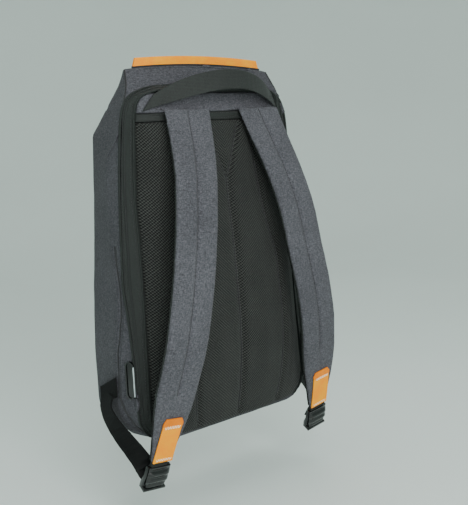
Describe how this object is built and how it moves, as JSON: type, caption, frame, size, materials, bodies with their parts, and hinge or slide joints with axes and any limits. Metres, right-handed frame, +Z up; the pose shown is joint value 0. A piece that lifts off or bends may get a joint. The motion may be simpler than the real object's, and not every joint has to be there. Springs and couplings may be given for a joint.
{
  "type": "anti-theft backpack",
  "caption": "Wedge-topped fabric backpack whose main zip runs round its padded mesh back, with padded shoulder straps, a grab handle, leather trim and a charging port on its side.",
  "frame": {"origin": "middle of the grab handle's webbing, where the bag hangs when it is carried", "axes": "+Z up, +Y from the wearer's back towards the bag's front, +X to the right of someone who looks at the mesh back"},
  "size_m": [0.3224, 0.1675, 0.5119],
  "materials": {
    "body_cloth": "heathered charcoal woven polyester, matt",
    "zip_tape": "black-green coated tape with a closed coil zip",
    "webbing": "black-green fine-ribbed webbing",
    "air_mesh": "black spacer mesh over foam",
    "tan_leather": "smooth orange-tan, cream stitches",
    "black_plastic": "black moulded plastic, half gloss"
  },
  "bodies": {
    "root": {"body_shell": "body_cloth", "zip_band": "zip_tape", "zip_slider": "black_plastic", "back_panel": "air_mesh", "mesh_binding": "webbing", "yoke_panel": "body_cloth", "top_trim": "tan_leather", "grab_handle": "webbing", "strap_left": "body_cloth", "strap_lining_left": "air_mesh", "strap_tab_left": "tan_leather", "buckle_loop_left": "webbing", "ladder_lock_left": "black_plastic", "lower_webbing_left": "webbing", "strap_right": "body_cloth", "strap_lining_right": "air_mesh", "strap_tab_right": "tan_leather", "buckle_loop_right": "webbing", "ladder_lock_right": "black_plastic", "lower_webbing_right": "webbing", "usb_port_frame": "black_plastic", "usb_port_cover": "black_plastic"}
  },
  "joints": []
}
